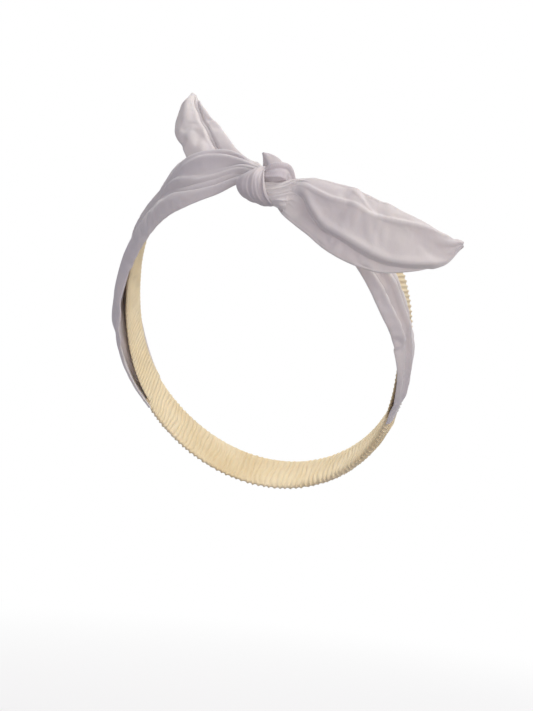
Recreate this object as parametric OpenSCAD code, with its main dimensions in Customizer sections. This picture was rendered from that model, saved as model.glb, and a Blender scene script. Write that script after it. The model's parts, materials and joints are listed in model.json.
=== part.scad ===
// Knotted headband: two cloth straps meet in a half knot at the hairline and end in two leaf
// shaped tails. A gathered casing with an elastic strip inside closes the loop at the nape.
// The loop is drawn as it sits on a head: front is -Y, the wearer's left is +X, up is +Z.
// The origin is the centre of the head opening.

/* [Head opening] */
// Half width of the head opening, ear to ear
head_rx = 71; // [66:1:76]
// Half depth of the head form, forehead to back
head_ry = 92; // [86:1:98]
// Half height of the head form
head_rz = 90; // [84:1:96]
// Tilt of the loop: how far the front stands above the nape, in degrees
loop_tilt = 43; // [38:1:48]
// How far the plane of the loop lies in front of and below the origin
loop_drop = 16.5; // [12:0.5:20]

/* [Straps] */
// Width of a strap where it enters the knot
strap_knot_w = 16; // [12:1:18]
// Width of a strap beside the ear
strap_side_w = 39; // [34:1:42]
// Width of a strap at its seam with the elastic casing
strap_end_w = 27; // [24:1:30]
// Thickness of a folded strap
strap_t = 3.6; // [2.8:0.2:4.2]
// Room left under the straps for the elastic casing's lap
strap_lift = 2.9; // [2.7:0.1:3.4]
// Angle round the loop, from the front, where the left strap starts beside the knot
left_start = 18; // [17:1:20]
// Angle round the loop, from the front, where the right strap ends beside the knot
right_start = 3; // [3:0.5:6]
// Angle round the loop where both straps are sewn to the elastic casing
strap_end = 118; // [112:1:122]
// How far the right strap rides up towards the crown beside the forehead
right_rise = 6; // [0:0.5:7]

/* [Elastic back] */
// Width of the gathered casing at the nape
casing_w = 25; // [22:1:28]
// Outer thickness of the gathered casing
casing_t = 5.4; // [5:0.2:6]
// Wall of the casing: one layer of gathered cloth
casing_wall = 1.3; // [1:0.1:1.5]
// Width of the elastic strip
elastic_w = 19; // [16:1:20]
// Thickness of the elastic strip
elastic_t = 1.4; // [1:0.1:1.8]
// Half of the angle that the moving middle of the casing covers
casing_mid = 32; // [28:1:36]
// Angle round the loop where the casing's lap starts under each strap
lap_start = 47; // [45:1:52]

/* [Knot] */
// Centre of the wrap, on the hairline
knot_at = [10.5, -90, 42.5]; // [-95:0.5:60]
// Outer radius of the wrap
wrap_r = 8; // [7:0.2:8.4]
// Length of the wrap along the core
wrap_len = 14; // [12:0.5:15]
// Radius of the strand that runs through the knot
core_r = 3.9; // [3.4:0.1:4]
// Length of the fold that lies over the core beside the wrap
fold_len = 8; // [7:0.5:9]

/* [Tails] */
// Widest part of the side tail
side_tail_w = 28; // [24:1:32]
// Widest part of the upright tail
up_tail_w = 22; // [18:1:26]
// Thickness of a tail
tail_t = 3.2; // [2.6:0.2:4]
// Hinge where the side tail leaves the knot
side_root = [27.5, -90, 40]; // [-95:0.5:60]
// Middle of the side tail
side_mid = [60.5, -85, 22.5]; // [-95:0.5:80]
// Tip of the side tail
side_tip = [98, -69.5, 24]; // [-95:0.5:110]
// Hinge where the upright tail leaves the knot
up_root = [4, -74, 61]; // [-95:0.5:60]
// Middle of the upright tail
up_mid = [-25, -65, 76.5]; // [-80:0.5:90]
// Tip of the upright tail
up_tip = [-34.5, -56, 102.5]; // [-80:0.5:110]
// Length of the gathered neck between a tail and the knot
neck_len = 9; // [8:0.5:11]

/* [Hidden] */
$fn = 48;

cloth = "ivory";
cloth_shade = "linen";
rib_cloth = "wheat";
rubber_white = "snow";

// Directions of the loop: its axis, its front and the wearer's left.
loop_axis = [0, sin(loop_tilt), cos(loop_tilt)];
loop_front = [0, -cos(loop_tilt), sin(loop_tilt)];
loop_left = [1, 0, 0];
head_radii = [head_rx, head_ry, head_rz];

ring_sides = 12;       // points round a swept section
loop_step = 2.5;       // degrees between sections along the loop
joint_gap = 0.4;       // clear space between pieces that move apart
ball_r = 3.4;          // rounded end of a neck
neck_r = 3;            // radius of a neck
leaf_root = 2.5;       // half width of a leaf at its hinge
leaf_steps = 24;       // sections along a leaf
leaf_first = 0.15;     // where on its curve a leaf starts
stitch_r = 0.35;       // radius of the sewing thread
stitch_len = 2.4;      // length of one stitch
stitch_count = 8;      // stitches across one seam
casing_flat = 0.3;     // gap between the casing and the head form

function unit(v) = v / norm(v);
function scaled(a, b) = [a.x / b.x, a.y / b.y, a.z / b.z];

// Point on the head form at an angle round the loop and a height along the loop's axis.
function on_head(angle, height) =
    let (start = loop_axis * (height - loop_drop),
         way = loop_front * cos(angle) + loop_left * sin(angle),
         p = scaled(start, head_radii),
         q = scaled(way, head_radii),
         half_b = p * q,
         reach = (-half_b + sqrt(half_b * half_b - (q * q) * (p * p - 1))) / (q * q))
    start + way * reach;

// Outward normal of the head form at a point.
function head_normal(p) = unit(scaled(scaled(p, head_radii), head_radii));

// Point above the head form.
function above_head(angle, height, lift) =
    let (p = on_head(angle, height)) p + head_normal(p) * lift;

// Flat oval section of a strap that follows the head form.
function strap_ring(angle, centre, width, bottom, thick) = [
    for (i = [0 : ring_sides - 1])
        let (a = 360 * i / ring_sides)
        above_head(angle, centre + width / 2 * cos(a), bottom + thick / 2 * (1 + sin(a)))
];

// Oval section of a tail or a neck.
function flat_ring(centre, across, normal, width, thick) = [
    for (i = [0 : ring_sides - 1])
        let (a = 360 * i / ring_sides)
        centre + across * (width / 2 * cos(a)) + normal * (thick / 2 * sin(a))
];

// Width of a strap at an angle round the loop, counted from its knot end.
function ease(t) = let (u = max(0, min(1, t))) u * u * (3 - 2 * u);
function strap_width(angle, first) =
    let (widen = ease((angle - first) / 36), narrow = ease((angle - 88) / (strap_end - 88)))
    strap_knot_w + (strap_side_w - strap_knot_w) * widen - (strap_side_w - strap_end_w) * narrow;

// Point and direction on a curve through three points.
function bend(a, b, c, t) =
    let (m = b * 2 - (a + c) / 2) a * (1 - t) * (1 - t) + m * (2 * t * (1 - t)) + c * t * t;
function bend_way(a, b, c, t) =
    let (m = b * 2 - (a + c) / 2) unit((m - a) * (1 - t) + (c - m) * t);

// Leaf outline: narrow at its hinge, widest near the middle, rounded at the tip.
function leaf_width(t, first, widest, opening) =
    let (full = widest * pow(max(0.02, sin(180 * pow(0.04 + 0.95 * t, 0.85))), 0.7))
    min(full, 2 * leaf_root + full * ease((t - first) / opening));

module swept(rings) {
    count = len(rings);
    sides = len(rings[0]);
    points = [for (ring = rings) for (p = ring) p];
    walls = [
        for (r = [0 : count - 2]) for (i = [0 : sides - 1])
            let (j = (i + 1) % sides)
            [r * sides + i, r * sides + j, (r + 1) * sides + j, (r + 1) * sides + i]
    ];
    first_cap = [for (i = [sides - 1 : -1 : 0]) i];
    last_cap = [for (i = [0 : sides - 1]) (count - 1) * sides + i];
    polyhedron(points, concat([first_cap, last_cap], walls), convexity = 6);
}

// side is 1 for the wearer's left and -1 for the wearer's right.
module strap(side, first, rise) {
    rings = [
        for (a = [first : (strap_end - first) / 42 : strap_end + 0.01])
            let (centre = rise * ease((a - 20) / 16) * (1 - ease((a - 45) / 35)))
            strap_ring(a * side, centre, strap_width(a, first), strap_lift, strap_t)
    ];
    swept(side > 0 ? [for (r = rings) [for (i = [ring_sides - 1 : -1 : 0]) r[i]]] : rings);
}

module loop_piece(from, to, centre, width, bottom, thick) {
    steps = ceil((to - from) / loop_step);
    rings = [
        for (k = [0 : steps])
            let (ring = strap_ring(from + (to - from) * k / steps, centre, width, bottom, thick))
            [for (i = [ring_sides - 1 : -1 : 0]) ring[i]]
    ];
    swept(rings);
}

module along(from, way) {
    pitch = acos(way.z);
    turn = atan2(way.y, way.x);
    translate(from) rotate([0, pitch, turn]) children();
}

core_way = unit(side_root - knot_at);

module wrap_section(inner, outer, length) {
    corner = (outer - inner) * 0.45;
    translate([inner, -length / 2])
        square([outer - inner - corner, length]);
    translate([inner, -length / 2 + corner])
        square([outer - inner, length - 2 * corner]);
    for (end = [-1, 1])
        translate([outer - corner, end * (length / 2 - corner)])
            circle(corner);
}

module knot_wrap() {
    color(cloth)
        along(knot_at, core_way)
            rotate_extrude()
                wrap_section(core_r + 0.2, wrap_r, wrap_len);
}

module knot_core() {
    reach = norm(side_root - knot_at) - ball_r - joint_gap;
    color(cloth_shade)
        along(knot_at - core_way * (wrap_len / 2), core_way)
            cylinder(r = core_r, h = reach + wrap_len / 2);
}

module knot_top_fold() {
    color(cloth)
        along(knot_at + core_way * (wrap_len / 2 + fold_len / 2 + 0.2), core_way)
            rotate([0, 0, 100])
                rotate_extrude(angle = 170)
                    wrap_section(core_r + 0.2, wrap_r - 0.6, fold_len);
}

module knot_peak() {
    color(cloth_shade)
        translate(knot_at + [1, 5, wrap_r + 2.2])
            rotate([-20, 8, 0])
                cylinder(r1 = 2.6, r2 = 0.4, h = 5.5);
}

// A rounded end at the hinge and a short neck that stops clear of the tail's own hinge.
module neck(root, way) {
    translate(root) sphere(ball_r);
    along(root, way)
        cylinder(r = neck_r, h = neck_len - ball_r - joint_gap);
}

module leaf(a, b, c, across, widest, opening) {
    rings = [
        for (k = [0 : leaf_steps])
            let (t = leaf_first + (1 - leaf_first) * k / leaf_steps,
                 v = bend_way(a, b, c, t),
                 side = unit(across - v * (across * v)),
                 out = cross(side, v))
            flat_ring(bend(a, b, c, t), side, out, leaf_width(t, leaf_first, widest, opening), tail_t)
    ];
    swept(rings);
}

side_across = unit([0.2, -0.25, 1]);
up_across = unit([0.9, 0.1, 0.42]);

module side_tail_neck() {
    color(cloth_shade) neck(side_root, bend_way(side_root, side_mid, side_tip, 0));
}

module side_tail() {
    color(cloth) leaf(side_root, side_mid, side_tip, side_across, side_tail_w, 0.16);
}

module upright_tail_neck() {
    color(cloth_shade) neck(up_root, bend_way(up_root, up_mid, up_tip, 0));
}

module upright_tail() {
    color(cloth) leaf(up_root, up_mid, up_tip, up_across, up_tail_w, 0.3);
}

module right_strap() {
    color(cloth) strap(-1, right_start, right_rise);
}

module left_strap() {
    color(cloth) strap(1, left_start, 0);
}

// The casing's lap starts under a strap, shows past its rear edge above the ear, and comes out
// behind the ear as a hollow gathered tube.
module casing_side(side) {
    lap_end = strap_end - 1;
    free_end = 180 - casing_mid - 0.3;
    lap = [
        for (a = [lap_start : 3 : lap_end])
            strap_ring(a * side, 12 - 12 * ease((a - 60) / 50), 24, casing_flat,
                       strap_lift - 2 * casing_flat)
    ];
    swept(side > 0 ? [for (r = lap) [for (i = [ring_sides - 1 : -1 : 0]) r[i]]] : lap);
    tube(side > 0 ? strap_end + 0.5 : -free_end, side > 0 ? free_end : -strap_end - 0.5);
}

module tube(from, to) {
    difference() {
        loop_piece(from, to, 0, casing_w, casing_flat, casing_t);
        loop_piece(from - 1, to + 1, 0, casing_w - 2 * casing_wall, casing_flat + casing_wall,
                   casing_t - 2 * casing_wall);
    }
}

module elastic_piece(from, to) {
    loop_piece(from, to, 0, elastic_w, casing_flat + (casing_t - elastic_t) / 2, elastic_t);
}

module right_casing_side() {
    color(rib_cloth) casing_side(-1);
}

module left_casing_side() {
    color(rib_cloth) casing_side(1);
}

module elastic_casing() {
    color(rib_cloth) tube(180 - casing_mid, 180 + casing_mid);
}

module right_elastic_side() {
    color(rubber_white) elastic_piece(180 + casing_mid + 0.3, 360 - strap_end - 1);
}

module left_elastic_side() {
    color(rubber_white) elastic_piece(strap_end + 1, 180 - casing_mid - 0.3);
}

module elastic_strip() {
    color(rubber_white) elastic_piece(180 - casing_mid, 180 + casing_mid);
}

// Machine stitches across the end of a strap, on its outer face.
module seam_thread(side) {
    angle = (strap_end - 2) * side;
    pitch = (strap_end_w - 7) / (stitch_count - 1);
    for (i = [0 : stitch_count - 1]) {
        height = (i - (stitch_count - 1) / 2) * pitch;
        curve = sqrt(1 - pow(2 * height / strap_end_w, 2));
        lift = strap_lift + strap_t / 2 * (1 + curve) + stitch_r + 0.35;
        p = above_head(angle, height - stitch_len / 2, lift);
        q = above_head(angle, height + stitch_len / 2, lift);
        along(p, unit(q - p)) cylinder(r = stitch_r, h = norm(q - p), $fn = 16);
    }
}

module right_seam_thread() {
    color(cloth) seam_thread(-1);
}

module left_seam_thread() {
    color(cloth) seam_thread(1);
}

right_strap();
left_strap();
knot_wrap();
knot_core();
knot_top_fold();
knot_peak();
side_tail_neck();
side_tail();
upright_tail_neck();
upright_tail();
right_casing_side();
left_casing_side();
elastic_casing();
right_elastic_side();
left_elastic_side();
elastic_strip();
right_seam_thread();
left_seam_thread();
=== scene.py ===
import json
import math
from functools import partial

import bmesh
import bpy
import numpy as np
from mathutils import Matrix, Vector


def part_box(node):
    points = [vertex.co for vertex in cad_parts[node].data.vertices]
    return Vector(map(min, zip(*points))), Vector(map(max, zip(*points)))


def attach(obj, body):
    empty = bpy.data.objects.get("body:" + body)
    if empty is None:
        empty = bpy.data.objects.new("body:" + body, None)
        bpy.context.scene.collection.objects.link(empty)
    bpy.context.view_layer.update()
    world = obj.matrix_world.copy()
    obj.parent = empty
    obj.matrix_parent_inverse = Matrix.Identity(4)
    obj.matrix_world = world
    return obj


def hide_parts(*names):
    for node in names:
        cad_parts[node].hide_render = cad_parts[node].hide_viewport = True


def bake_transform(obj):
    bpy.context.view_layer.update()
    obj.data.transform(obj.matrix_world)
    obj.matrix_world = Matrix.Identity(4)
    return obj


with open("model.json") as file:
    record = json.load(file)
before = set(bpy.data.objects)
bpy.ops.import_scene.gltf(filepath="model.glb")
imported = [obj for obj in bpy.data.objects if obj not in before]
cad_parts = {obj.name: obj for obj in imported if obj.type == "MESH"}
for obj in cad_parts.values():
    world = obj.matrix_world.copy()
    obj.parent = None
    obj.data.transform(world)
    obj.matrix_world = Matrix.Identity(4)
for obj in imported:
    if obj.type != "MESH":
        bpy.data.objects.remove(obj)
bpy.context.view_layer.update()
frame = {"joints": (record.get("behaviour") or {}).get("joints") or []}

# The knotted headband's looks: two pleated cloth straps, the knot and its two tails, and the
# gathered casing with its elastic. Shapes are worked out in millimetres, in the row frame.
MM = 0.001


# -------------------- numbers from the frame
def joint(name):
    return next(j for j in frame["joints"] if j["name"] == name)


def joint_place(name):
    return np.array(joint(name)["pos_m"]) / MM


def middle_of(node):
    low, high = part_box(node)
    return (np.array(low) + np.array(high)) / 2 / MM


def unit(v):
    return v / np.linalg.norm(v, axis=-1, keepdims=True)


# The loop of the headband lies round a head form, and its middle plane is tilted. A place on it
# is an angle in degrees from the front, positive to the wearer's left, and a height across it.
LOOP_BACK = unit(np.array(joint("elastic_stretch")["axis"]))
LOOP_LEFT = np.array([1.0, 0.0, 0.0])
LOOP_AXIS = np.cross(LOOP_LEFT, LOOP_BACK)
LOOP_FRONT = -LOOP_BACK
LOOP_DROP = 16.5  # how far the loop's middle plane lies below the head form's centre
HEAD = np.array([71.0, 92.0, 90.0])  # half sizes of the head form

KNOT = middle_of("knot_wrap")
SIDE_HINGE = joint_place("side_tail_swing")
UP_HINGE = joint_place("upright_tail_lean")

# Angles round the loop, in degrees.
STRAP_END = 118.0  # the seam between each strap and the casing
LAP_START = 30.0  # where the gathered cloth starts under each strap
RIBS_PER_DEGREE = 0.5


# -------------------- small maths
FULL_TURN = 6.283  # in radians, rounded
WAVES = 7  # in each ripple


def ease(t):
    """From 0 to 1 as t does, slow at both ends."""
    u = np.clip(t, 0, 1)
    return u * u * (3 - 2 * u)


def bell(x, width):
    """A soft bump 1 high at x = 0."""
    return np.exp(-(x / width) ** 2)


def pleat(x, soft, steep):
    """A fold 1 high at x = 0 that falls slowly where x < 0 and fast where x > 0."""
    return np.exp(-(x / np.where(x < 0, soft, steep)) ** 2)


def tent(x, below, above):
    """A crisp fold 1 high at x = 0, its two sides fading over the given widths."""
    return np.exp(-np.abs(x) / np.where(x < 0, below, above))


def track(t, *stops):
    """A smooth value along t through (t, value) stops."""
    at = np.array([s[0] for s in stops], float)
    value = np.array([s[1] for s in stops], float)
    slope = np.gradient(value, at)
    t = np.clip(t, at[0], at[-1])
    k = np.clip(np.searchsorted(at, t) - 1, 0, len(at) - 2)
    gap = at[k + 1] - at[k]
    u = (t - at[k]) / gap
    return (
        value[k] * (2 * u**3 - 3 * u**2 + 1)
        + slope[k] * gap * (u**3 - 2 * u**2 + u)
        + value[k + 1] * (3 * u**2 - 2 * u**3)
        + slope[k + 1] * gap * (u**3 - u**2)
    )


def curve(t, *stops):
    """A smooth route along t through (t, (x, y, z)) stops."""
    return np.stack([track(t, *[(s[0], s[1][i]) for s in stops]) for i in range(3)], axis=-1)


def bend(a, b, c, t):
    """A bow from a to c that passes through b half-way."""
    m = b * 2 - (a + c) / 2
    t = t[..., None]
    return a * (1 - t) ** 2 + m * (2 * t * (1 - t)) + c * t**2


def ripple(u, v, seed):
    """Smooth uneven waves, mostly within 1 of 0, over two coordinates in wavelengths."""
    rng = np.random.default_rng(seed)
    total = 0
    for _ in range(WAVES):
        turn, pitch, phase = rng.uniform(0, math.pi), rng.uniform(0.6, 1.7), rng.uniform(0, 6.3)
        place = u * math.cos(turn) + v * math.sin(turn)
        total = total + np.sin(FULL_TURN * pitch * place + phase)
    return total / math.sqrt(WAVES)


def across_steps(count):
    """From -1 to 1, closer together near the ends."""
    even, even_share = np.linspace(-1, 1, count), 0.45
    return even_share * even + (1 - even_share) * np.sin(even * math.pi / 2)


def on_head(angle, height):
    """The place on the head form at an angle round the loop and a height across it."""
    a = np.radians(angle)[..., None]
    start = LOOP_AXIS * (height - LOOP_DROP)[..., None]
    way = LOOP_FRONT * np.cos(a) + LOOP_LEFT * np.sin(a)
    p, q = start / HEAD, way / HEAD
    half_b, qq, pp = (p * q).sum(-1), (q * q).sum(-1), (p * p).sum(-1)
    reach = (-half_b + np.sqrt(half_b**2 - qq * (pp - 1))) / qq
    return start + way * reach[..., None]


def above_head(angle, height, lift):
    """The same place, lifted off the head form."""
    angle, height, lift = np.broadcast_arrays(angle, height, lift)
    p = on_head(angle, height)
    return p + unit(p / HEAD**2) * lift[..., None]


# -------------------- meshes
CENTIMETRES = 0.1


def new_piece(name, points, faces, material):
    """A mesh object in the scene, from points in mm."""
    mesh = bpy.data.meshes.new(name)
    mesh.from_pydata((points * MM).tolist(), [], faces)
    mesh.materials.append(material)
    piece = bpy.data.objects.new(name, mesh)
    bpy.context.scene.collection.objects.link(piece)
    return piece


def walls(index):
    """Faces between each ring of points and the next, from the points' numbers."""
    after = np.roll(index, -1, axis=1)
    return np.stack([index[:-1], after[:-1], after[1:], index[1:]], -1).reshape(-1, 4)


def ring_mesh(name, rings, material):
    """A closed skin through rings of points: each ring is a front row and a back row."""
    count, sides = rings.shape[:2]
    index = np.arange(count * sides).reshape(count, sides)
    faces = walls(index)
    half = sides // 2
    for row in (index[0], index[-1]):
        front, back = row[:half], row[half:][::-1]
        cap = np.stack([front[:-1], front[1:], back[1:], back[:-1]], -1)
        faces = np.vstack([faces, cap])
    piece = new_piece(name, rings.reshape(-1, 3), faces.tolist(), material)
    weave_map(piece.data, rings, faces)
    face_outward(piece.data)
    piece.data.shade_smooth()
    crease_ends(piece.data, count, sides)
    return piece


def crease_ends(mesh, count, sides):
    """Sharp edges round the first and last ring, so that their caps leave no shade beside them."""
    pairs = np.empty(len(mesh.edges) * 2, dtype=np.int64)
    mesh.edges.foreach_get("vertices", pairs)
    pairs = pairs.reshape(-1, 2)
    sharp = (pairs.max(axis=1) < sides) | (pairs.min(axis=1) >= (count - 1) * sides)
    marks = mesh.attributes.new("sharp_edge", "BOOLEAN", "EDGE")
    marks.data.foreach_set("value", sharp)


def weave_map(mesh, rings, faces):
    """The cloth's own coordinates, across and along, in centimetres, for the weave."""
    count, sides = rings.shape[:2]
    step = np.linalg.norm(np.diff(np.concatenate([rings, rings[:, :1]], 1), axis=1), axis=-1)
    across = np.concatenate([np.zeros((count, 1)), np.cumsum(step, axis=1)], axis=1)
    advance = np.linalg.norm(np.diff(rings.mean(axis=1), axis=0), axis=-1)
    along = np.concatenate([[0], np.cumsum(advance)])
    column, row = faces % sides, faces // sides
    closing = (column == 0) & (column.max(axis=1, keepdims=True) == sides - 1)
    wrapped = np.where(closing, sides, column)
    layer = mesh.uv_layers.new(name="cloth")
    pairs = np.stack([across[row, wrapped], along[row]], -1) * CENTIMETRES
    layer.data.foreach_set("uv", pairs.reshape(-1).astype(np.float32))


def face_outward(mesh):
    work = bmesh.new()
    work.from_mesh(mesh)
    bmesh.ops.recalc_face_normals(work, faces=work.faces)
    work.to_mesh(mesh)
    work.free()


def normals(grid, out):
    """The direction that a grid of points faces at each point, on its side toward out."""
    n = unit(np.cross(np.gradient(grid, axis=0), np.gradient(grid, axis=1)))
    return -n if (n.reshape(-1, 3).mean(0) * out).sum() < 0 else n


def shell(middle, thick, out):
    """Rings of a cloth of a given thickness round its middle surface; out points outward."""
    half = normals(middle, out) * (np.broadcast_to(thick, middle.shape[:2])[..., None] / 2)
    return np.concatenate([middle + half, (middle - half)[:, ::-1]], axis=1)


def turned_edge(v, sharp=14):
    """Thickness factor that rounds a cloth's two long edges."""
    return np.sqrt(np.clip(1 - np.abs(v) ** sharp, 0.02, 1))


# -------------------- cloth simulation
SIM_SCALE = 20.0  # the cloth is simulated this much larger, where Blender's solver is steadier
SIM_STEP = 4  # it takes one point in this many, each way
SIM_FRAMES = 24
SIM_SOFTENING = 14  # passes over its result
SMALLEST = 1e-9


def soften(grid, passes):
    """Evens out a grid of values by averaging each with its neighbours."""
    for _ in range(passes):
        wide = np.pad(grid, ((1, 1), (1, 1), (0, 0)), "edge")
        beside = wide[:-2, 1:-1] + wide[2:, 1:-1] + wide[1:-1, :-2] + wide[1:-1, 2:]
        grid = (beside + 4 * grid) / 8
    return grid


def spread(coarse, rows, columns, shape):
    """Values of a coarse grid, read off at every row and column of the full one."""
    def fill(line, known, count):
        return np.interp(np.arange(count), known, line)

    tall = np.apply_along_axis(fill, 0, coarse, rows, shape[0])
    return np.apply_along_axis(fill, 1, tall, columns, shape[1])


def every(count):
    """Places of the points that the simulation takes, out of a row of count."""
    return np.round(np.linspace(0, count - 1, count // SIM_STEP)).astype(int)


def simulated_cloth(points, firm, grow, sag):
    """A Blender object with a cloth modifier, from the points of a grid and their firmness."""
    index = np.arange(firm.size).reshape(firm.shape)
    faces = np.stack([index[:-1, :-1], index[:-1, 1:], index[1:, 1:], index[1:, :-1]], -1)
    mesh = bpy.data.meshes.new("settle")
    mesh.from_pydata(points.tolist(), [], faces.reshape(-1, 4).tolist())
    work = bpy.data.objects.new("settle", mesh)
    bpy.context.scene.collection.objects.link(work)
    group = work.vertex_groups.new(name="hold")
    for i, value in enumerate(firm.reshape(-1).tolist()):
        group.add([i], value, "REPLACE")
    cloth = work.modifiers.new("cloth", "CLOTH")
    s = cloth.settings
    s.quality = 6
    s.mass = 0.25
    s.tension_stiffness = 20
    s.compression_stiffness = 20
    s.shear_stiffness = 6
    s.bending_stiffness = 0.6
    s.air_damping = 3
    s.shrink_min = -grow
    s.vertex_group_mass = "hold"
    s.pin_stiffness = 1.0
    s.effector_weights.gravity = sag
    cloth.point_cache.frame_start = 1
    cloth.point_cache.frame_end = SIM_FRAMES
    return work


def settle(middle, hold, cap, grow=0.0, sag=0.0):
    """Lets a grid of cloth relax from its modelled shape: hold is how firmly each point stays
    (1 is pinned), grow lengthens the cloth so that it buckles, sag is its share of gravity, and
    no point moves past cap."""
    rows, columns = every(middle.shape[0]), every(middle.shape[1])
    coarse, firm = middle[rows][:, columns], hold[rows][:, columns]
    start = coarse.reshape(-1, 3) * MM * SIM_SCALE
    work = simulated_cloth(start, firm, grow, sag)
    for f in range(1, SIM_FRAMES + 1):
        bpy.context.scene.frame_set(f)
    shown = work.evaluated_get(bpy.context.evaluated_depsgraph_get())
    moved = np.empty(firm.size * 3)
    shown.data.vertices.foreach_get("co", moved)
    bpy.context.scene.frame_set(1)
    mesh = work.data
    bpy.data.objects.remove(work)
    bpy.data.meshes.remove(mesh)
    move = (moved.reshape(-1, 3) - start) / SIM_SCALE / MM
    far = np.linalg.norm(move, axis=1, keepdims=True)
    move = move * cap * np.tanh(far / cap) / np.maximum(far, SMALLEST)
    move = spread(move.reshape(coarse.shape), rows, columns, middle.shape[:2])
    return middle + soften(move, SIM_SOFTENING)


# -------------------- materials
WAVE_PERIOD = 0.314  # of Blender's wave texture at scale 1


def nodes_of(name):
    m = bpy.data.materials.new(name)
    m.use_nodes = True
    m.node_tree.nodes.clear()
    return m, m.node_tree.nodes, m.node_tree.links


def add_node(nodes, kind, values=None, **settings):
    """A shader node with its settings and the fixed values on its own sockets."""
    made = nodes.new(kind)
    for name, value in settings.items():
        setattr(made, name, value)
    for socket, value in (values or {}).items():
        made.inputs[socket].default_value = value
    return made


def cloth_surface(nodes, sheen):
    return add_node(nodes, "ShaderNodeBsdfPrincipled", {
        "Roughness": 0.72,
        "Sheen Weight": sheen,
        "Sheen Roughness": 0.45,
        "Sheen Tint": (1.0, 0.98, 0.96, 1),
        "Specular IOR Level": 0.25,
        "Subsurface Weight": 0.12,
        "Subsurface Radius": (1.0, 0.72, 0.45),
        "Subsurface Scale": 0.0035,
    })


def crossing_threads(nodes, links, source, pitch):
    """Warp and weft, pitch mm apart: whichever stands higher shows."""
    scale = WAVE_PERIOD / CENTIMETRES / pitch
    both = add_node(nodes, "ShaderNodeMath", operation="MAXIMUM")
    for i, direction in enumerate(("X", "Y")):
        wave = add_node(
            nodes, "ShaderNodeTexWave",
            {"Scale": scale, "Distortion": 0.5, "Detail": 1.0, "Detail Scale": 1.5},
            wave_type="BANDS", bands_direction=direction, wave_profile="SIN",
        )
        links.new(source, wave.inputs["Vector"])
        links.new(wave.outputs["Fac"], both.inputs[i])
    return both.outputs[0]


def noise(nodes, links, source, scale, detail):
    made = add_node(nodes, "ShaderNodeTexNoise", {"Scale": scale, "Detail": detail})
    links.new(source, made.inputs["Vector"])
    return made.outputs["Fac"]


def slubs(nodes, links, source):
    """Long uneven thick places in the threads."""
    stretched = add_node(nodes, "ShaderNodeMapping", {"Scale": (1.0, 9.0, 1.0)})
    links.new(source, stretched.inputs["Vector"])
    return noise(nodes, links, stretched.outputs[0], 2.2, 2.0)


def cloth_colour(nodes, links, patches, uneven, threads, light, shade):
    """Slow patches between two colours, a little darker between the threads."""
    ramp = add_node(nodes, "ShaderNodeValToRGB")
    first, last = ramp.color_ramp.elements
    first.position, last.position = 0.32, 0.68
    first.color, last.color = (*shade, 1), (*light, 1)
    links.new(patches, ramp.inputs["Fac"])
    halved = add_node(nodes, "ShaderNodeMath", {1: 0.5, 2: 0.5}, operation="MULTIPLY_ADD")
    links.new(uneven, halved.inputs[0])
    thread_tint = add_node(nodes, "ShaderNodeMath", operation="MULTIPLY")
    links.new(halved.outputs[0], thread_tint.inputs[0])
    links.new(threads, thread_tint.inputs[1])
    tint = add_node(nodes, "ShaderNodeMix", data_type="RGBA", blend_type="MULTIPLY")
    tint.inputs["Factor"].default_value = 0.16
    links.new(ramp.outputs["Color"], tint.inputs["A"])
    links.new(thread_tint.outputs[0], tint.inputs["B"])
    return tint.outputs["Result"]


def cloth_relief(nodes, links, threads, crumple, weave, crumpled):
    """The weave as a fine bump, with soft crumples over it."""
    fine = add_node(nodes, "ShaderNodeBump", {"Strength": weave, "Distance": 0.00012})
    soft = add_node(nodes, "ShaderNodeBump", {"Strength": crumpled, "Distance": 0.0006})
    links.new(threads, fine.inputs["Height"])
    links.new(crumple, soft.inputs["Height"])
    links.new(fine.outputs[0], soft.inputs["Normal"])
    return soft.outputs[0]


def cloth_material(name, light, shade, pitch=0.42, weave=0.25, sheen=0.35, crumpled=0.25):
    """Fine woven cloth: crossing threads, uneven slubs, soft crumples and a warm inner glow."""
    m, nodes, links = nodes_of(name)
    out = add_node(nodes, "ShaderNodeOutputMaterial")
    surface = cloth_surface(nodes, sheen)
    flat = add_node(nodes, "ShaderNodeUVMap", uv_map="cloth").outputs[0]
    solid = add_node(nodes, "ShaderNodeTexCoord").outputs["Object"]
    threads = crossing_threads(nodes, links, flat, pitch)
    crumple = noise(nodes, links, solid, 230.0, 3.0)
    patches = noise(nodes, links, solid, 34.0, 3.0)
    uneven = slubs(nodes, links, flat)
    colour = cloth_colour(nodes, links, patches, uneven, threads, light, shade)
    relief = cloth_relief(nodes, links, threads, crumple, weave, crumpled)
    links.new(colour, surface.inputs["Base Color"])
    links.new(relief, surface.inputs["Normal"])
    links.new(surface.outputs[0], out.inputs[0])
    return m


STRAP_CLOTH = cloth_material("strap_cloth", (0.79, 0.735, 0.72), (0.73, 0.68, 0.69))
# painted shade: the knot is the same cloth as the straps, given a darker copy of their colours that
# stands in for the shade falling on it
KNOT_CLOTH_PAINTED_SHADE = cloth_material("knot_cloth", (0.70, 0.645, 0.645), (0.63, 0.57, 0.60))
TAIL_CLOTH = cloth_material("tail_cloth", (0.815, 0.765, 0.735), (0.75, 0.695, 0.69))
# painted warm light: the gathered casing is the same off-white cloth as the straps, and its tan and
# cream colours stand in for warm light glowing through the gathers
CASING_CLOTH_PAINTED_WARM_LIGHT = cloth_material("casing_cloth", (0.90, 0.77, 0.53), (0.80, 0.65, 0.40),
                              weave=0.12, sheen=0.15, crumpled=0.06)
ELASTIC = cloth_material("elastic", (0.83, 0.81, 0.77), (0.74, 0.72, 0.68), pitch=0.9, weave=0.8)
THREAD = cloth_material("thread", (0.80, 0.76, 0.70), (0.72, 0.68, 0.62), pitch=0.3, weave=0.6)


# -------------------- straps
CLOTH_THICK = 1.7  # of a folded double layer, with the air in it
STRAP_STAND = 4.4  # middle of a strap's cloth above the head form
STRAP_CAP = 0.9  # furthest that the simulation moves it
END_WIDTH = 27.0  # of each strap at its seam


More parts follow.
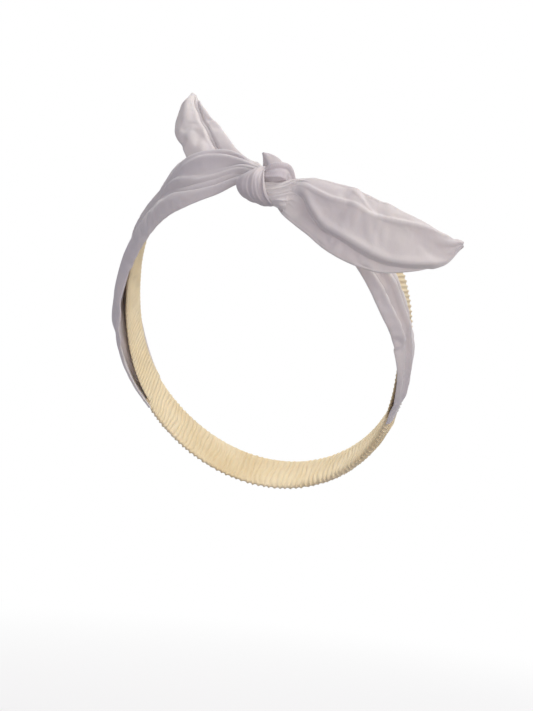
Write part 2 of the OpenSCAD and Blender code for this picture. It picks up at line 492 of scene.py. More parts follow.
def right_strap_folds(a, v, half):
    """How far the pleats of the right strap stand out, at an angle a round the loop."""
    x = v * half
    show = partial(track, a)

    def line(*stops):
        return x - track(a, *stops) * half

    upper = line((-5, 0.30), (3, 0.42), (12, 0.62), (24, 0.70), (40, 0.55), (118, 0.5))
    folds = pleat(upper, 5.0, 3.2) * 2.0 * show(
        (-5, 0.2), (2, 0.4), (10, 1), (30, 0.8), (60, 0.3), (118, 0))
    ridge = line((-5, -0.05), (3, -0.27), (9, -0.26), (15, -0.06), (22, 0.16), (28, 0.30), (118, 0.34))
    folds += pleat(-ridge, 2.4, 1.2) * 2.2 * show(
        (-5, 1), (6, 1), (22, 0.8), (30, 0.25), (40, 0), (118, 0))
    crease = line((-5, -0.42), (3, -0.64), (10, -0.60), (20, -0.3), (30, -0.1), (118, 0.1))
    folds -= bell(crease, 0.9) * 1.8 * show((-5, 1), (6, 1), (16, 0.6), (26, 0), (118, 0))
    panel = line((-5, -0.8), (12, -0.72), (26, -0.5), (50, -0.5), (118, -0.4))
    folds += bell(panel, 5.5) * 1.5 * show((-5, 0.6), (14, 1), (40, 0.8), (80, 0.4), (118, 0.2))
    rim = line((-5, 0.9), (20, 0.84), (40, 0.72), (60, 0.6), (90, 0.4), (118, 0.3))
    folds += pleat(rim, 1.0, 3.0) * 1.3 * show(
        (-5, 0), (12, 0.2), (22, 1), (60, 1), (100, 0.5), (118, 0.2))
    second = line((-5, 0.5), (24, 0.52), (34, 0.5), (50, 0.30), (90, 0.05), (118, 0.0))
    folds += pleat(second, 1.1, 3.6) * 1.6 * show(
        (-5, 0), (20, 0), (28, 1), (60, 1), (100, 0.7), (118, 0.3))
    lowest = line((-5, -0.5), (24, -0.1), (34, -0.25), (50, -0.40), (90, -0.4), (118, -0.4))
    folds += pleat(-lowest, 1.2, 4.5) * 1.5 * show(
        (-5, 0), (22, 0), (30, 0.8), (60, 1), (100, 0.7), (118, 0.3))
    folds += 0.35 * ripple(a / 26, v * 1.1, 3) * (0.4 + 0.6 * (1 - np.abs(v) ** 4))
    gather = ripple(a * 0.02, v * 2.6, 8) * bell(a + 2, 13) * 0.7
    return (folds + gather) * flat_at_seam(a) - 1.6 * np.abs(v) ** 6


def flat_at_seam(a):
    """Falls to 0 where a strap lies flat, just before its seam with the casing."""
    return 1 - ease((a - 106) / 8)


def right_strap_stand(a, v):
    """Height of the right strap over the head form: it rises over the knot's back."""
    stand = track(a, (-8, STRAP_STAND), (18, STRAP_STAND), (32, 3.0), (46, 3.0), (64, STRAP_STAND),
                  (118, STRAP_STAND))
    near = ease((a + 10) / 9) * (1 - ease((a - 8) / 26))
    rise = 6.2 * near * ease((v + 0.35) / 1.2)
    return stand + rise + 3.0 * (1 - ease((a + 6) / 12)) * (1 - ease(v + 0.4))


def strap_piece(name, middle, v, out):
    """A strap's closed cloth round its middle surface."""
    rings = shell(middle, CLOTH_THICK * turned_edge(v), out)
    return ring_mesh(name, rings, STRAP_CLOTH)


def right_strap():
    """Wearer's right: from behind the knot round to the seam, its pleats meeting at the knot."""
    a = np.concatenate([np.linspace(-8, 50, 180), np.linspace(50, STRAP_END + 1, 90)[1:]])[:, None]
    v = across_steps(88)[None, :]
    low = track(a, (-8, -5), (0, -8), (3, -10.2), (6, -11.8), (10, -13.2), (15, -13.6), (20, -12.4),
                (26, -11), (34, -10.5), (50, -11.5), (75, -19.5), (90, -19.5),
                (STRAP_END, -END_WIDTH / 2))
    high = track(a, (-8, -1), (-3, 2.4), (0, 6.8), (3, 10.6), (6, 12.8), (10, 14.2), (15, 16.2),
                 (20, 19), (26, 21.5), (34, 22), (50, 21), (75, 19.5), (90, 19.5),
                 (STRAP_END, END_WIDTH / 2))
    height = low + (high - low) * (v + 1) / 2
    lift = right_strap_stand(a, v) + right_strap_folds(a, v, (high - low) / 2)
    middle = above_head(-a, height, lift)
    loose = np.sin(np.clip((a - 2) / 114, 0, 1) * math.pi)
    hold = np.clip(1 - 0.75 * loose * np.ones_like(v), 0, 1)
    middle = settle(middle, hold, STRAP_CAP, grow=0.02)
    piece = strap_piece("right_strap_cloth", middle, v, -LOOP_BACK - LOOP_LEFT)
    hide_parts("right_strap")
    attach(piece, "headband")
    return piece


def left_strap_folds(a, v, height, high):
    """How far the long folds of the left strap stand out, at an angle a round the loop."""
    show = partial(track, a)

    def line(*stops):
        return height - track(a, *stops)

    roll = line((14, -5), (30, -10.6), (44, -13.6), (60, -14.2), (70, -13), (78, -12.6), (90, -14.6),
                (118, -11.5))
    folds = tent(roll, 3.4, 0.7) * 2.6 * show((14, 0.6), (34, 1), (95, 1), (118, 0.3))
    valley = line((14, -2.6), (30, -8), (44, -11.2), (60, -11.6), (76, -9.6), (92, -10.6), (118, -8.5))
    folds -= bell(valley, 1.3) * 2.0 * show((14, 0.5), (45, 1), (75, 1.2), (92, 0.7), (108, 0))
    ridge = line((14, -1), (30, -3.6), (52, -6), (84, -5.5), (100, -5.8), (118, -4.5))
    folds += tent(-ridge, 4.5, 0.8) * 2.6 * show((14, 0.6), (34, 1), (100, 1), (118, 0.3))
    second = line((14, 1.5), (40, -1.2), (60, -2.4), (80, -1.4), (118, -0.5))
    folds += tent(-second, 2.6, 0.7) * 1.5 * show((14, 0.3), (32, 1), (70, 1), (96, 0.2), (118, 0))
    third = line((14, 4), (40, 2.6), (60, 2.2), (90, 4.5), (118, 4))
    folds += pleat(third, 2.2, 0.8) * 0.8 * show((14, 0.2), (36, 1), (66, 0.8), (104, 0.5), (118, 0))
    folds += bell(height - high + 1.4, 1.1) * 0.5
    folds += 0.35 * ripple(a / 24, height / 16, 5) * (0.4 + 0.6 * (1 - np.abs(v) ** 4))
    gather = ripple(a * 0.02, v * 2.6, 12) * bell(a - 10, 14) * 0.7
    return (folds + gather) * flat_at_seam(a) - 1.4 * np.abs(v) ** 6


def left_strap():
    """Wearer's left: from under the knot and the side tail round to the seam."""
    a = np.concatenate([np.linspace(4, 80, 196), np.linspace(80, STRAP_END + 1, 80)[1:]])[:, None]
    v = across_steps(104)[None, :]
    low = track(a, (4, -5.5), (14, -8), (30, -13.6), (42, -16.4), (60, -18.2), (72, -16.8),
                (100, -16.2), (STRAP_END, -END_WIDTH / 2))
    high = track(a, (4, 0.5), (14, 3.5), (20, 6), (30, 9.5), (45, 9), (60, 7.8), (72, 8), (80, 10),
                 (92, 14), (102, 16.5), (STRAP_END, END_WIDTH / 2))
    height = low + (high - low) * (v + 1) / 2
    stand = STRAP_STAND - 0.8 * (1 - ease((a - 14) / 12)) - 1.0 * (1 - ease((a - 4) / 10))
    middle = above_head(a, height, stand + left_strap_folds(a, v, height, high))
    loose = np.sin(np.clip((a - 16) / 100, 0, 1) * math.pi)
    middle = settle(middle, 1 - 0.75 * loose * np.ones_like(v), STRAP_CAP, grow=0.02)
    piece = strap_piece("left_strap_cloth", middle, v, -LOOP_BACK + LOOP_LEFT)
    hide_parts("left_strap")
    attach(piece, "headband")
    return piece


# -------------------- knot
CORE_WAY = unit(SIDE_HINGE - KNOT)
KNOT_UP = unit(np.array([0, 0, 1.0]) - CORE_WAY * CORE_WAY[2])
KNOT_OUT = np.cross(CORE_WAY, KNOT_UP)


def in_knot(along, out, up):
    """A place given from the middle of the wrap, in the knot's own directions."""
    return KNOT + CORE_WAY * along + KNOT_OUT * out + KNOT_UP * up


def wrap_surface(turn, v, half):
    """How far the wrap's outside stands from the middle of the knot: a body that closes in to
    the left, uneven pleats along the cloth, and a lip at each edge."""
    reach = track(turn, (-165, 6.6), (-80, 7.3), (-40, 8.0), (0, 8.4), (40, 7.8), (80, 6.9), (165, 6.6))
    left, right = np.clip(-v, 0, 1), np.clip(v, 0, 1)
    body = reach - (reach - 4.6) * (1 - np.sqrt(np.clip(1 - left**2.4, 0, 1))) - 0.8 * right**2
    pleats = 0
    for place, tall in ((-0.50, 0.25), (-0.12, 0.45), (0.16, 0.5), (0.40, 0.5), (0.66, 0.4)):
        wander = place + 0.05 * np.sin(np.radians(turn) * 1.7 + place * 9)
        pleats = pleats + pleat((v - wander) * half, 1.9, 0.55) * tall
    pleats = pleats * (0.55 + 0.45 * np.cos(np.radians(turn) / 2))
    lips = bell((v - 0.94) * half, 0.42) * 1.1 + bell((v + 0.90) * half, 0.40) * 0.5
    return body + pleats + lips + 0.18 * ripple(turn / 70, v * 1.5, 21)


def knot_wrap():
    """The band of cloth that turns over the front of the knot, pleated along its length. It is
    drawn by the angle of its turn round the core, and from its first edge to its last."""
    turn = np.linspace(165, -165, 220)[:, None]
    v = across_steps(84)[None, :]
    first = track(turn, (-165, 5), (-115, 1), (-82, -2.8), (-58, -4.6), (-35, -5.9), (-12, -6.2),
                  (6, -5.5), (26, -3.2), (52, 0.6), (90, 3.8), (130, 5), (165, 6))
    last = track(turn, (-165, 12), (-115, 12), (-82, 11), (-58, 9.4), (-41, 8.4), (0, 6.7), (26, 5.7),
                 (52, 5.0), (90, 7.0), (165, 10))
    half = (last - first) / 2
    out = wrap_surface(turn, v, half)
    inside = np.maximum(out - 1.5 * turned_edge(v, sharp=8) - 1.0, 3.2)
    spin = np.radians(turn)[..., None]
    radial = KNOT_OUT * np.cos(spin) + KNOT_UP * np.sin(spin)
    place = KNOT + ((first + last) / 2 + half * v)[..., None] * CORE_WAY
    outer = place + radial * out[..., None]
    inner = place + radial * inside[..., None]
    rings = np.concatenate([outer, inner[:, ::-1]], axis=1)
    piece = ring_mesh("knot_wrap_cloth", rings, KNOT_CLOTH_PAINTED_SHADE)
    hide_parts("knot_wrap")
    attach(piece, "headband")
    return piece


def strand(t, route, wide, deep, up_hint, bulge):
    """Rings of a soft squarish strand along a route; bulge adds to its outside."""
    sides, square = 96, 0.72
    centre = curve(t, *route)
    way = unit(np.gradient(centre, axis=0))
    up = unit(up_hint - way * (way * up_hint).sum(-1, keepdims=True))
    out = np.cross(way, up)
    angle = np.linspace(0, 2 * math.pi, sides, endpoint=False)[None, :]
    c, s = np.cos(angle), np.sin(angle)
    c = np.sign(c) * np.abs(c) ** square
    s = np.sign(s) * np.abs(s) ** square
    grow = bulge(t[:, None], angle)
    rise = up[:, None] * ((wide[:, None] + grow) * c)[..., None]
    return centre[:, None] + rise + out[:, None] * ((deep[:, None] + grow) * s)[..., None]


def knot_hump():
    """The wearer's left strap where it rises from behind the knot and goes over into the wrap."""
    t = np.linspace(0, 1, 120)
    route = (
        (0, in_knot(15.6, -7, 1.4)), (0.25, in_knot(12.4, -1.6, 6.3)), (0.5, in_knot(10.2, 1.4, 6.7)),
        (0.75, in_knot(7.2, 2.2, 4.7)), (1, in_knot(3.4, 0.5, 3.2)),
    )
    wide = track(t, (0, 2.4), (0.25, 4.2), (0.5, 4.5), (0.8, 3.2), (1, 2.4))
    deep = track(t, (0, 2.2), (0.25, 2.8), (0.5, 4.0), (0.8, 3.8), (1, 2.8))

    def fold(angle, place, width):
        return bell(np.sin((angle - place) / 2), width)

    def bulge(t, angle):
        folds = fold(angle, 5.5, 0.14) * 0.55 + fold(angle, 4.2, 0.10) * 0.45
        folds -= fold(angle, 4.9, 0.07) * 0.55
        return folds * ease(t / 0.3) + 0.22 * ripple(t * 2.2, angle / 3.1, 31)

    rings = strand(t, route, wide, deep, KNOT_UP, bulge)
    piece = ring_mesh("knot_top_fold_cloth", rings, KNOT_CLOTH_PAINTED_SHADE)
    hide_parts("knot_top_fold")
    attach(piece, "headband")
    return piece


def knot_peak():
    """A small turned-up corner of cloth behind the top of the knot, creased down its middle."""
    t = np.linspace(0, 1, 60)
    v = across_steps(48)[None, :, None]
    rise = t[:, None, None]
    tip = in_knot(-0.8, -4.0, 16.9)
    left = bend(in_knot(-0.2, -6.0, 6.0), in_knot(0.5, -4.5, 10.8), tip, t)[:, None]
    crease = bend(in_knot(6.4, -1.0, 7.0), in_knot(3.0, -1.6, 12.2), tip, t)[:, None]
    right = bend(in_knot(11.5, -3.5, 8.5), in_knot(8.0, -2.6, 14.4), tip, t)[:, None]
    u = np.clip(v, 0, 1) ** 0.9
    w = np.clip(-v, 0, 1)
    sheet = crease + (right - crease) * u + (left - crease) * w
    puff = 0.8 * np.sin(math.pi * u) * (1 - rise) + 0.15 * ripple(rise, v, 44)
    rings = shell(sheet + KNOT_OUT * puff, turned_edge(v[..., 0]), KNOT_OUT)
    piece = ring_mesh("knot_peak_cloth", rings, KNOT_CLOTH_PAINTED_SHADE)
    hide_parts("knot_peak")
    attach(piece, "headband")
    return piece


# -------------------- tails
SIDE_MIDDLE = np.array([60.5, -85.0, 22.5])
SIDE_TIP = np.array([98.0, -69.5, 24.0])
SIDE_ACROSS = unit(np.array([0.2, -0.25, 1.0]))


def side_tail_sheet(s, trim):
    """Middle surface, half thickness and gathers of the side tail's cloth. s runs from -17 in
    the knot, by 0 at the hinge, to 100 at the tip: a gathered strand that fans out into a leaf
    with two lengthwise folds. trim is how much thinner than its neighbour a stretch is."""
    v = across_steps(92)[None, :]
    t = np.clip(s, 0, 100) / 100
    straight = SIDE_HINGE + CORE_WAY * np.minimum(s, 0)[:, None]
    centre = np.where((s < 0)[:, None], straight, bend(SIDE_HINGE, SIDE_MIDDLE, SIDE_TIP, t))
    way = unit(side_tail_way(s))
    hint = unit(KNOT_UP + (SIDE_ACROSS - KNOT_UP) * ease((s + 4) / 16)[:, None])
    across = unit(hint - way * (way * hint).sum(-1, keepdims=True))
    out = np.cross(way, across)
    s = s[:, None]
    half = track(s, (-18, 3.9), (-9, 4.6), (-4, 5.8), (0, 7.6), (4, 9.6), (10, 10.9), (20, 12.3),
                 (30, 13.9), (40, 14.4), (50, 14.4), (60, 14.0), (70, 12.1), (80, 9.9), (88, 7.4),
                 (92, 6.0), (96, 3.6), (98.2, 2.3), (99.4, 1.3), (100, 0.6))
    side = track(s, (-18, -0.4), (-9, -2.0), (-4, -2.3), (0, -1.8), (4, -0.2), (10, 0.9), (20, 2.0),
                 (40, 1.6), (60, 0.7), (80, -0.2), (92, -1.1), (96, -0.5), (98.2, 0.2), (100, 0.3))
    flat = ease((s + 8) / 20)
    deep = (1 - flat) * 4.1 + flat * 0.95
    round_edge = np.sqrt(np.clip(1 - np.abs(v) ** (2 + 10 * flat), 0.015, 1))
    fold = side_tail_folds(s, v, half)
    offset = (side + v * half)[..., None] * across[:, None] + fold[..., None] * out[:, None]
    return centre[:, None] + offset, (deep - trim) * round_edge, side_tail_gathers(s, v, half)


def side_tail_way(s):
    """Direction of the side tail's middle line, turning softly at the hinge."""
    t, step = np.clip(s, 0, 100) / 100, 0.01
    here = bend(SIDE_HINGE, SIDE_MIDDLE, SIDE_TIP, t)
    ahead = bend(SIDE_HINGE, SIDE_MIDDLE, SIDE_TIP, t + step)
    turned = ease((s + 5) / 9)[:, None]
    return CORE_WAY * (1 - turned) + unit(ahead - here) * turned


def side_tail_folds(s, v, half):
    """How far the tail's surface stands out from its middle sheet, in mm."""
    x = v * half
    thin = track(s, (-16, 0.66), (0, 0.55), (10, 0.50), (20, 0.44), (35, 0.56), (50, 0.52),
                 (62, 0.60), (80, 0.78), (100, 0.9))
    wide = track(s, (-16, 0.2), (0, 0.36), (8, 0.22), (15, -0.12), (22, -0.34), (38, -0.38),
                 (50, -0.46), (64, -0.58), (78, -0.66), (100, -0.8))
    above_thin, above_wide = x - thin * half, x - wide * half
    open_ = ease((s + 2) / 14)
    end = 1 - ease((s - 76) / 20)
    fold = tent(above_thin, 2.0, 0.6) * 1.25 * open_ * (1 - ease((s - 86) / 12))
    fold -= ease(above_thin / 9) * 3.4 * open_ * (0.4 + 0.6 * end)
    fold += (tent(above_wide, 0.9, 6.0) * 2.4 + bell(above_wide - 0.6, 1.6) * 0.5) * open_ * end
    fold -= ease(-above_wide / 2.4) * 1.1 * open_ * end
    fold += bell(x + 0.86 * half, 3.0) * 0.8 * open_ * end
    short = x - track(s, (-16, 0.9), (24, 0.9), (34, 0.84), (46, 0.62), (100, 0.6)) * half
    fold += tent(short, 0.7, 0.7) * 0.6 * bell(s - 38, 9)
    fold += bell(s - 66, 14) * bell(v + 0.1, 0.4) * 1.0
    hem = bell((np.abs(v) - 0.965) * half, 0.55) * 0.3 * open_
    return fold + hem + 0.25 * ripple(s / 26, v * 1.1, 57) * open_


def side_tail_gathers(s, v, half):
    """Small pleats on the front of the strand that comes out of the knot."""
    gathers = 0
    for k in range(10):
        line = 1.7 - 0.3 * k + 0.07 * np.minimum(s, 3) + 0.05 * np.sin(s * 0.35 + k * 2.4)
        gathers = gathers + tent((v - line) * half, 0.5, 1.1) * (0.7 + 0.3 * math.sin(k * 2.0))
    return gathers * (1 - ease((s + 1) / 9))


def side_tail_piece(name, s_from, s_to, count, trim=0.0, relax=False):
    s = np.linspace(s_from, s_to, count)
    middle, body, gathers = side_tail_sheet(s, trim)
    if relax:
        loose = 0.8 * ease((s[:, None] - 12) / 14)
        hold = np.clip(1 - loose, 0, 1) * np.ones(middle.shape[:2])
        middle = settle(middle, hold, 1.6, grow=0.025, sag=0.02)
    n = normals(middle, KNOT_OUT)
    outer = middle + n * (body + gathers)[..., None]
    inner = middle - n * body[..., None]
    return ring_mesh(name, np.concatenate([outer, inner[:, ::-1]], axis=1), TAIL_CLOTH)


def side_tail():
    """The core strand in the knot, the neck at the hinge and the leaf, each overlapping the next."""
    core = side_tail_piece("knot_core_cloth", -17, -2.6, 40)
    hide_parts("knot_core")
    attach(core, "headband")
    neck = side_tail_piece("side_tail_neck_cloth", -3.4, 5.0, 40, trim=0.04)
    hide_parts("side_tail_neck")
    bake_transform(neck)
    leaf = side_tail_piece("side_tail_cloth", 4.2, 99.9, 210, relax=True)
    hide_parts("side_tail")
    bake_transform(leaf)
    return core, neck, leaf


UP_MIDDLE = np.array([-25.0, -65.0, 76.5])
UP_TIP = np.array([-34.5, -56.0, 102.5])
UP_ACROSS = unit(np.array([0.9, 0.1, 0.42]))
UP_ROOT = in_knot(2.0, -6.0, 6.0)  # where it leaves the back of the knot
UP_ELBOW = UP_HINGE + np.array([6.5, -3.5, -6.5])
UP_LENGTH = 60.0
UP_ROOT_LENGTH = 17.0


def up_tail_folds(s, v, half):
    """How far the upright tail's cloth stands out: a front flap, turned over a darker gap."""
    fold_at = track(s, (-8, 0.1), (12, 0.18), (20, 0.22), (29, 0.2), (36, 0.27), (45, 0.33),
                    (54, 0.16), (58, 0.05), (61.8, 0))
    step = (v - fold_at) * half
    open_ = ease((s - 4) / 10)
    tip = 1 - ease((s - 55) / 6.5)
    flap = 1 - ease((step + 0.5) / 1.3)
    fold = flap * 2.1 * open_ * (0.25 + 0.75 * tip)
    fold += bell(step + 5, 4.5) * 0.7 * open_ * tip
    fold += bell(step - 1.7, 0.35) * 0.55 * open_ * tip
    fold += ease((step - 2.9) / 0.9) * 1.1 * open_ * tip
    fold -= 3.4 * np.clip(-v - 0.3, 0, 1) ** 2 * open_
    return fold + 0.25 * ripple(s / 24, v, 71)


def up_tail_sheet(s):
    """Middle surface of the upright tail's cloth, and its places across: s runs from -17 at the
    back of the knot, by 0 at the hinge, to just past 60 at the tip."""
    v = across_steps(92)[None, :]
    root = bend(UP_HINGE, UP_ELBOW, UP_ROOT, np.maximum(-s, 0) / UP_ROOT_LENGTH)
    leaf = bend(UP_HINGE, UP_MIDDLE, UP_TIP, np.maximum(s, 0) / UP_LENGTH)
    centre = np.where((s < 0)[:, None], root, leaf)
    way = unit(np.gradient(centre, axis=0))
    across = unit(UP_ACROSS - way * (way * UP_ACROSS).sum(-1, keepdims=True))
    out = -np.cross(way, across)
    s = s[:, None]
    half = track(s, (-17, 3.0), (-8, 3.1), (0, 4.0), (6, 6.8), (12, 10.2), (18, 12.3), (24, 11.4),
                 (30, 10.5), (42, 9.4), (48, 7.7), (54, 5.3), (57.5, 3.7), (60, 2.1), (61.8, 0.6))
    side = track(s, (-17, 0), (-8, -0.8), (0, -1.4), (6, -2.3), (12, -3.6), (18, -3.3), (24, -1.1),
                 (30, 0.4), (42, -0.2), (50, 0.1), (54, -0.2), (61.8, -0.8))
    lift = up_tail_folds(s, v, half) - 3.0 * (1 - ease((s - 16) / 20))
    sheet = centre[:, None] + (side + v * half)[..., None] * across[:, None]
    return sheet + lift[..., None] * out[:, None], v


def up_tail_piece(name, s_from, s_to, count, relax=False):
    s = np.linspace(s_from, s_to, count)
    middle, v = up_tail_sheet(s)
    if relax:
        loose = 0.8 * ease((s[:, None] - 12) / 12)
        hold = np.clip(1 - loose, 0, 1) * np.ones(middle.shape[:2])
        middle = settle(middle, hold, 1.2, grow=0.02)
    rings = shell(middle, CLOTH_THICK * turned_edge(v), -LOOP_BACK)
    return ring_mesh(name, rings, TAIL_CLOTH)


def up_tail():
    """The neck, from the back of the knot past the hinge, and the leaf that overlaps it."""
    neck = up_tail_piece("upright_tail_neck_cloth", -UP_ROOT_LENGTH, 5.0, 60)
    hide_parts("upright_tail_neck")
    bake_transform(neck)
    leaf = up_tail_piece("upright_tail_cloth", 4.2, 61.6, 170, relax=True)
    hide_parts("upright_tail")
    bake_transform(leaf)
    return neck, leaf


# -------------------- gathered casing and elastic
CASING_WIDTH, ELASTIC_WIDTH = 25.0, 19.0
CASING_LIFT = 3.0  # middle of the casing and the elastic above the head form
LAP_LIFT = 1.5  # the same under the straps


def loop_band(a_from, a_to, count, sides, lift_of, width_of, centre_of=None):
    """Rings of a band round the head form, from its lift, its width and where its middle runs.
    lift_of gives the heights of its outside and its inside over the head form."""
    a = np.linspace(a_from, a_to, count)[:, None]
    v = across_steps(sides)[None, :]
    centre = 0 if centre_of is None else centre_of(a)
    height = centre + v * width_of(a, v) / 2
    outer, inner = lift_of(a, v)
    return np.concatenate([above_head(a, height, outer), above_head(a, height, inner)[:, ::-1]], 1)


def ribs(a, v, seed, uneven=0.22):
    """Narrow gathers that run across the band, a little uneven in pitch and height."""
    phase = a * RIBS_PER_DEGREE + uneven * ripple(a / 9, v * 0.5, seed)
    return np.cos(math.pi * phase) ** 4 * (0.85 + 0.15 * ripple(a / 5, v, seed + 1))


def casing():
    """The gathered tube round the nape, from seam to seam."""
    def lift_of(a, v):
        rim = np.sqrt(np.clip(1 - np.abs(v) ** 5, 0.01, 1))
        near = ease((a - STRAP_END) / 5) * ease((360 - STRAP_END - a) / 5)
        gather = ribs(a, v, 81)
        channel = 0.5 * bell(np.abs(v) - 0.8, 0.05)
        outer = CASING_LIFT + (1.8 * near + 1.3 * gather) * rim - channel
        inner = CASING_LIFT - (1.3 + 0.9 * (1 - gather)) * rim
        return outer, inner

    def width_of(a, v):
        return CASING_WIDTH + 1.2 * ribs(a, v * 0, 81)

    rings = loop_band(STRAP_END - 3, 363 - STRAP_END, 900, 36, lift_of, width_of)
    piece = ring_mesh("elastic_casing_cloth", rings, CASING_CLOTH_PAINTED_WARM_LIGHT)
    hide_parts("right_casing_side", "left_casing_side", "elastic_casing")
    blend_back(piece)
    return piece


def blend_back(piece):
    """Bakes a piece's placement into its points."""
    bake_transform(piece)


def elastic():
    """The ribbed elastic strip inside the casing."""
    def lift_of(a, v):
        rim = np.sqrt(np.clip(1 - np.abs(v) ** 8, 0.02, 1))
        half = (0.7 + 0.08 * np.cos(v * 40)) * rim
        return CASING_LIFT + half, CASING_LIFT - half

    def width_of(a, v):
        return ELASTIC_WIDTH

    rings = loop_band(STRAP_END + 1, 359 - STRAP_END, 260, 60, lift_of, width_of)
    piece = ring_mesh("elastic_strip_weave", rings, ELASTIC)
    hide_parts("right_elastic_side", "left_elastic_side", "elastic_strip")
    blend_back(piece)
    return piece


def lap(side, name, puff, rise, slant):
    """Start of the gathered casing under a strap. On the left it shows past the strap's rear
    edge, where puff makes it stand, rise moves it backward and slant leans its gathers."""
    def tucked(a):
        return 1 - ease((np.abs(a) - LAP_START) / 17)

    def lift_of(a, v):
        rim = np.sqrt(np.clip(1 - np.abs(v) ** 4, 0.01, 1))
        gather = ribs(a + slant * v, v, 85, 0.06)
        show = ease((v + 0.4) / 0.9) * (1 - ease((np.abs(a) - 84) / 14)) * (1 - tucked(a))
        deep = 0.7 + puff * 0.15 * show
        outer = LAP_LIFT + (0.8 + deep * gather + puff * show) * rim
        inner = LAP_LIFT - (0.5 + 0.7 * gather) * rim
        return outer, inner

    def width_of(a, v):
        return CASING_WIDTH - 9.0 * tucked(a)

    def centre_of(a):
        return rise * (1 - ease((np.abs(a) - 62) / 50)) - (rise + 1.4) * tucked(a)

    first, last = side * LAP_START, side * (STRAP_END - 1)
    rings = loop_band(first, last, 600, 36, lift_of, width_of, centre_of)
    piece = ring_mesh(name, rings, CASING_CLOTH_PAINTED_WARM_LIGHT)
    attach(piece, "headband")
    return piece


STITCHES, STITCH_PITCH, STITCH_LENGTH = 9, 2.9, 2.1
THREAD_RADIUS, THREAD_STEPS, THREAD_SIDES = 0.34, 12, 8


def stitch_line(side, number):
    """Middle line of one stitch on the strap's end, its two ends dipping into the cloth."""
    height = (number - STITCHES // 2) * STITCH_PITCH
    t = np.linspace(0, 1, THREAD_STEPS)
    angle = np.full(THREAD_STEPS, side * (STRAP_END - 2.6))
    rise = 5.35 - 1.6 * abs(height / (END_WIDTH / 2)) ** 6 - 0.7 * (2 * t - 1) ** 4
    return above_head(angle, height + (t - 0.5) * STITCH_LENGTH, rise)


def thread_rings(line):
    """Rings of a thread round its middle line, closing in at both ends."""
    way = unit(np.gradient(line, axis=0))
    up = unit(line / HEAD**2)
    across = np.cross(way, up)
    t = np.linspace(-1, 1, THREAD_STEPS)
    radius = THREAD_RADIUS * np.sqrt(np.maximum(0.05, 1 - np.abs(t) ** 4))[:, None, None]
    angle = np.linspace(0, 2 * math.pi, THREAD_SIDES, endpoint=False)[None, :, None]
    round_it = across[:, None] * np.cos(angle) + up[:, None] * np.sin(angle)
    return line[:, None] + round_it * radius


def stitches(side, name):
    """A row of lockstitches that sews a strap to the casing."""
    points, faces = [], []
    for number in range(STITCHES):
        rings = thread_rings(stitch_line(side, number))
        index = np.arange(rings.shape[0] * rings.shape[1]).reshape(rings.shape[:2])
        index = index + number * index.size
        points.append(rings.reshape(-1, 3))
        faces += walls(index).tolist() + [index[0, ::-1].tolist(), index[-1].tolist()]
    piece = new_piece(name, np.concatenate(points), faces, THREAD)
    face_outward(piece.data)
    piece.data.shade_smooth()
    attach(piece, "headband")
    return piece


# -------------------- the whole headband
right = right_strap()
left = left_strap()
wrap = knot_wrap()
hump = knot_hump()
peak = knot_peak()
core, neck, leaf = side_tail()
up_neck, up_leaf = up_tail()
tube = casing()
strip = elastic()
right_lap = lap(-1, "right_lap_cloth", 0.0, 8.5, 0.0)
left_lap = lap(1, "left_lap_cloth", 1.6, 12.6, -6.0)
right_thread = stitches(-1, "right_seam_stitches")
left_thread = stitches(1, "left_seam_stitches")
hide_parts("right_seam_thread")
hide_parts("left_seam_thread")


# -------------------- camera, light and stage
VIEW_AZIMUTH, VIEW_ELEVATION, VIEW_ROLL = 14.5, -9.6, 5.3
VIEW_DISTANCE = 421.0
LOOK_AT = np.array([0.0, -0.7, -15.2])
SENSOR_MM = 36
LENS_SHARE = 1.12518  # focal length, as a share of the picture's height
FLOOR_HEIGHT, FLOOR_HALF = -260.0, 8000.0


def camera():
    """The photograph's view: the camera faces LOOK_AT from the front, a little to the wearer's
    left and below, and is rolled."""
    a, e, r = map(math.radians, (VIEW_AZIMUTH, VIEW_ELEVATION, VIEW_ROLL))
    back = Vector((math.sin(a) * math.cos(e), -math.cos(a) * math.cos(e), math.sin(e)))
    right = Vector((0, 0, 1)).cross(back).normalized()
    up = back.cross(right)
    rolled_right = right * math.cos(r) + up * math.sin(r)
    rolled_up = up * math.cos(r) - right * math.sin(r)
    data = bpy.data.cameras.new("camera")
    data.sensor_width = SENSOR_MM
    data.sensor_fit = "AUTO"
    data.lens = SENSOR_MM * LENS_SHARE
    data.clip_start, data.clip_end = 0.02, 30
    cam = bpy.data.objects.new("camera", data)
    bpy.context.scene.collection.objects.link(cam)
    turn = Matrix((rolled_right, rolled_up, back)).transposed().to_4x4()
    place = Vector(LOOK_AT * MM) + back * VIEW_DISTANCE * MM
    cam.matrix_world = Matrix.Translation(place) @ turn
    bpy.context.scene.camera = cam


def area_light(name, place, aim, size, power, colour):
    data = bpy.data.lights.new(name, "AREA")
    data.shape = "DISK"
    data.size = size
    data.energy = power
    data.color = colour
    light = bpy.data.objects.new(name, data)
    bpy.context.scene.collection.objects.link(light)
    light.location = place
    light.rotation_mode = "QUATERNION"
    light.rotation_quaternion = (Vector(aim) - Vector(place)).to_track_quat("-Z", "Y")


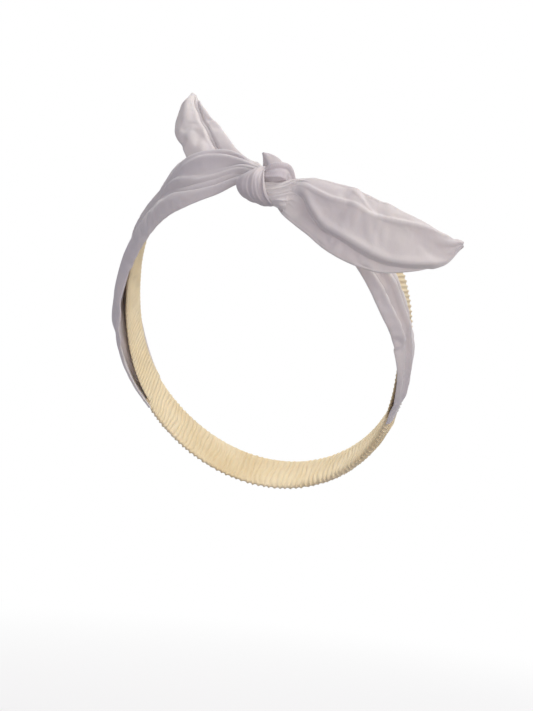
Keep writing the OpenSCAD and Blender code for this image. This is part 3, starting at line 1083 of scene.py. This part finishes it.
def studio():
    """Soft lamps round the object, under a plain white background."""
    world = bpy.data.worlds.new("studio")
    world.use_nodes = True
    nodes, links = world.node_tree.nodes, world.node_tree.links
    nodes.clear()
    out = add_node(nodes, "ShaderNodeOutputWorld")
    ambient = add_node(nodes, "ShaderNodeBackground", {"Color": (0.90, 0.89, 1.0, 1), "Strength": 0.34})
    shown = add_node(nodes, "ShaderNodeBackground", {"Color": (1, 1, 1, 1), "Strength": 1.0})
    pick = add_node(nodes, "ShaderNodeMixShader")
    path = add_node(nodes, "ShaderNodeLightPath")
    links.new(path.outputs["Is Camera Ray"], pick.inputs[0])
    links.new(ambient.outputs[0], pick.inputs[1])
    links.new(shown.outputs[0], pick.inputs[2])
    links.new(pick.outputs[0], out.inputs[0])
    bpy.context.scene.world = world
    area_light("top", (0.33, -0.15, 0.74), (0, -0.05, 0.03), 0.6, 4.5, (1.0, 0.99, 0.95))
    area_light("back", (-0.3, 0.55, 0.5), (0, -0.05, 0.03), 0.5, 3.0, (1.0, 0.98, 0.92))
    area_light("side", (0.80, -0.60, 0.08), (0, -0.05, 0.02), 0.8, 1.9, (1.0, 0.97, 0.92))
    area_light("front", (0.45, -0.85, 0.05), (0, -0.05, 0.02), 0.8, 1.1, (0.97, 0.95, 1.0))
    area_light("fill", (-0.55, -0.75, 0.0), (0, -0.05, 0.02), 0.8, 0.7, (0.92, 0.90, 1.0))
    area_light("below", (0.25, -0.5, -0.4), (0.03, -0.08, 0.02), 0.5, 1.7, (1.0, 0.86, 0.82))
    bpy.context.scene.view_settings.view_transform = "Standard"


def floor():
    """A pale floor that fades into the background away from the object."""
    m, nodes, links = nodes_of("floor")
    out = add_node(nodes, "ShaderNodeOutputMaterial")
    paint = add_node(nodes, "ShaderNodeBsdfDiffuse", {"Color": (0.9, 0.9, 0.9, 1)})
    glow = add_node(nodes, "ShaderNodeEmission", {"Strength": 1.0})
    both = add_node(nodes, "ShaderNodeMixShader")
    place = add_node(nodes, "ShaderNodeTexCoord")
    away = add_node(nodes, "ShaderNodeVectorMath", operation="LENGTH")
    fade = add_node(nodes, "ShaderNodeMapRange", {"From Min": 0.1, "From Max": 0.75, "To Min": 0.35},
                    interpolation_type="SMOOTHSTEP")
    links.new(place.outputs["Object"], away.inputs[0])
    links.new(away.outputs["Value"], fade.inputs["Value"])
    links.new(fade.outputs["Result"], both.inputs[0])
    links.new(paint.outputs[0], both.inputs[1])
    links.new(glow.outputs[0], both.inputs[2])
    links.new(both.outputs[0], out.inputs[0])
    corners = np.array([(-1, -1, 0), (1, -1, 0), (1, 1, 0), (-1, 1, 0)]) * FLOOR_HALF
    ground = new_piece("floor", corners, [(0, 1, 2, 3)], m)
    ground.location.z = FLOOR_HEIGHT * MM
    ground.visible_diffuse = False


camera()
studio()
floor()
